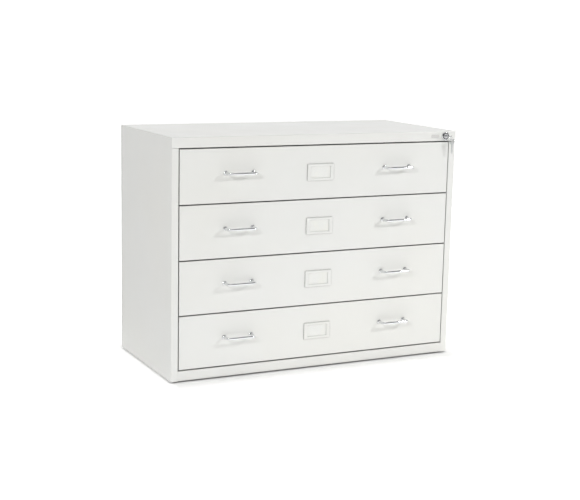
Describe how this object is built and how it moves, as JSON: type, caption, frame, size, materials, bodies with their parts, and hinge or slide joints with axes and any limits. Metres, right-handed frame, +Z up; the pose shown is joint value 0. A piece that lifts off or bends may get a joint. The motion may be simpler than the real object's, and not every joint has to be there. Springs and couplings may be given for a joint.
{
  "type": "flat file cabinet",
  "caption": "Low, wide steel cabinet with a stack of full-width shallow drawers on roller runners, bow handles, label holders, and one lock for all the drawers.",
  "frame": {"origin": "on the floor plane, under the middle of the whole object's box, handles included", "axes": "+X to the right across the drawers as seen from the front, +Y from the front to the back, +Z up"},
  "size_m": [0.914, 0.452, 0.69],
  "materials": {
    "enamel": "smooth pale grey baked enamel, semi-gloss",
    "zinc_steel": "bright zinc plate on sheet steel",
    "satin_plate": "satin plate, left blank",
    "chrome": "polished plate",
    "nylon": "moulded off-white nylon",
    "dark_plastic": "moulded dark grey plastic",
    "card": "plain white card stock"
  },
  "bodies": {
    "cabinet": {"side_panel_left": "enamel", "side_panel_right": "enamel", "top_panel": "enamel", "back_panel": "enamel", "floor_panel": "enamel", "bottom_rail": "enamel", "runner_posts": "zinc_steel", "cabinet_runners": "zinc_steel", "bar_guides": "nylon", "glides": "dark_plastic", "blank_badge": "satin_plate", "lock_housing": "chrome", "lock_nut": "zinc_steel"},
    "lock_plug": {"lock_plug": "chrome", "lock_cam": "zinc_steel", "cam_screw": "zinc_steel"},
    "lock_bar": {"lock_bar": "zinc_steel"},
    "key": {"key": "chrome"},
    "key_ring": {"key_ring": "chrome"},
    "spare_key": {"spare_key": "chrome"},
    "drawer_1": {"drawer_front_1": "enamel", "drawer_tray_1": "enamel", "drawer_runners_1": "zinc_steel", "lock_catch_1": "zinc_steel", "handles_1": "chrome", "handle_screws_1": "zinc_steel", "label_holder_1": "enamel", "label_card_1": "card"},
    "front_rollers_1": {"front_rollers_1": "nylon"},
    "rear_rollers_1": {"rear_rollers_1": "nylon"},
    "drawer_2": {"drawer_front_2": "enamel", "drawer_tray_2": "enamel", "drawer_runners_2": "zinc_steel", "lock_catch_2": "zinc_steel", "handles_2": "chrome", "handle_screws_2": "zinc_steel", "label_holder_2": "enamel", "label_card_2": "card"},
    "front_rollers_2": {"front_rollers_2": "nylon"},
    "rear_rollers_2": {"rear_rollers_2": "nylon"},
    "drawer_3": {"drawer_front_3": "enamel", "drawer_tray_3": "enamel", "drawer_runners_3": "zinc_steel", "lock_catch_3": "zinc_steel", "handles_3": "chrome", "handle_screws_3": "zinc_steel", "label_holder_3": "enamel", "label_card_3": "card"},
    "front_rollers_3": {"front_rollers_3": "nylon"},
    "rear_rollers_3": {"rear_rollers_3": "nylon"},
    "drawer_4": {"drawer_front_4": "enamel", "drawer_tray_4": "enamel", "drawer_runners_4": "zinc_steel", "lock_catch_4": "zinc_steel", "handles_4": "chrome", "handle_screws_4": "zinc_steel", "label_holder_4": "enamel", "label_card_4": "card"},
    "front_rollers_4": {"front_rollers_4": "nylon"},
    "rear_rollers_4": {"rear_rollers_4": "nylon"}
  },
  "joints": [
    {"name": "drawer_1_slide", "type": "slide", "parent": "cabinet", "child": "drawer_1", "axis": [0, -1, 0], "range_m": [0, 0.32]},
    {"name": "front_rollers_1_spin", "type": "hinge", "parent": "cabinet", "child": "front_rollers_1", "pos_m": [0, -0.167, 0.5366], "axis": [1, 0, 0], "continuous": true},
    {"name": "rear_rollers_1_spin", "type": "hinge", "parent": "drawer_1", "child": "rear_rollers_1", "pos_m": [0, 0.1735, 0.5345], "axis": [1, 0, 0], "continuous": true},
    {"name": "drawer_2_slide", "type": "slide", "parent": "cabinet", "child": "drawer_2", "axis": [0, -1, 0], "range_m": [0, 0.32]},
    {"name": "front_rollers_2_spin", "type": "hinge", "parent": "cabinet", "child": "front_rollers_2", "pos_m": [0, -0.167, 0.3806], "axis": [1, 0, 0], "continuous": true},
    {"name": "rear_rollers_2_spin", "type": "hinge", "parent": "drawer_2", "child": "rear_rollers_2", "pos_m": [0, 0.1735, 0.3785], "axis": [1, 0, 0], "continuous": true},
    {"name": "drawer_3_slide", "type": "slide", "parent": "cabinet", "child": "drawer_3", "axis": [0, -1, 0], "range_m": [0, 0.32]},
    {"name": "front_rollers_3_spin", "type": "hinge", "parent": "cabinet", "child": "front_rollers_3", "pos_m": [0, -0.167, 0.2246], "axis": [1, 0, 0], "continuous": true},
    {"name": "rear_rollers_3_spin", "type": "hinge", "parent": "drawer_3", "child": "rear_rollers_3", "pos_m": [0, 0.1735, 0.2225], "axis": [1, 0, 0], "continuous": true},
    {"name": "drawer_4_slide", "type": "slide", "parent": "cabinet", "child": "drawer_4", "axis": [0, -1, 0], "range_m": [0, 0.32]},
    {"name": "front_rollers_4_spin", "type": "hinge", "parent": "cabinet", "child": "front_rollers_4", "pos_m": [0, -0.167, 0.0686], "axis": [1, 0, 0], "continuous": true},
    {"name": "rear_rollers_4_spin", "type": "hinge", "parent": "drawer_4", "child": "rear_rollers_4", "pos_m": [0, 0.1735, 0.0665], "axis": [1, 0, 0], "continuous": true},
    {"name": "lock_turn", "type": "hinge", "parent": "cabinet", "child": "lock_plug", "pos_m": [0.4215, -0.194, 0.67525], "axis": [0, -1, 0], "range_deg": [0, 90]},
    {"name": "bar_slide", "type": "slide", "parent": "cabinet", "child": "lock_bar", "axis": [0, 0, 1], "range_m": [0, 0.01132]},
    {"name": "key_pull", "type": "slide", "parent": "lock_plug", "child": "key", "axis": [0, -1, 0], "range_m": [0, 0.03]},
    {"name": "ring_swing", "type": "hinge", "parent": "key", "child": "key_ring", "pos_m": [0.4297, -0.211, 0.67525], "axis": [-1, 0, 0], "range_deg": [-4, 30]},
    {"name": "spare_key_swing", "type": "hinge", "parent": "key_ring", "child": "spare_key", "pos_m": [0.4352, -0.211, 0.66392], "axis": [-1, 0, 0], "range_deg": [-4, 35]}
  ],
  "couplings": [
    {"joint": "front_rollers_1_spin", "follows": "drawer_1_slide", "rad_per_m": 111.11},
    {"joint": "rear_rollers_1_spin", "follows": "drawer_1_slide", "rad_per_m": 111.11},
    {"joint": "front_rollers_2_spin", "follows": "drawer_2_slide", "rad_per_m": 111.11},
    {"joint": "rear_rollers_2_spin", "follows": "drawer_2_slide", "rad_per_m": 111.11},
    {"joint": "front_rollers_3_spin", "follows": "drawer_3_slide", "rad_per_m": 111.11},
    {"joint": "rear_rollers_3_spin", "follows": "drawer_3_slide", "rad_per_m": 111.11},
    {"joint": "front_rollers_4_spin", "follows": "drawer_4_slide", "rad_per_m": 111.11},
    {"joint": "rear_rollers_4_spin", "follows": "drawer_4_slide", "rad_per_m": 111.11},
    {"joint": "bar_slide", "follows": "lock_turn", "m_per_rad": 0.0072025}
  ]
}
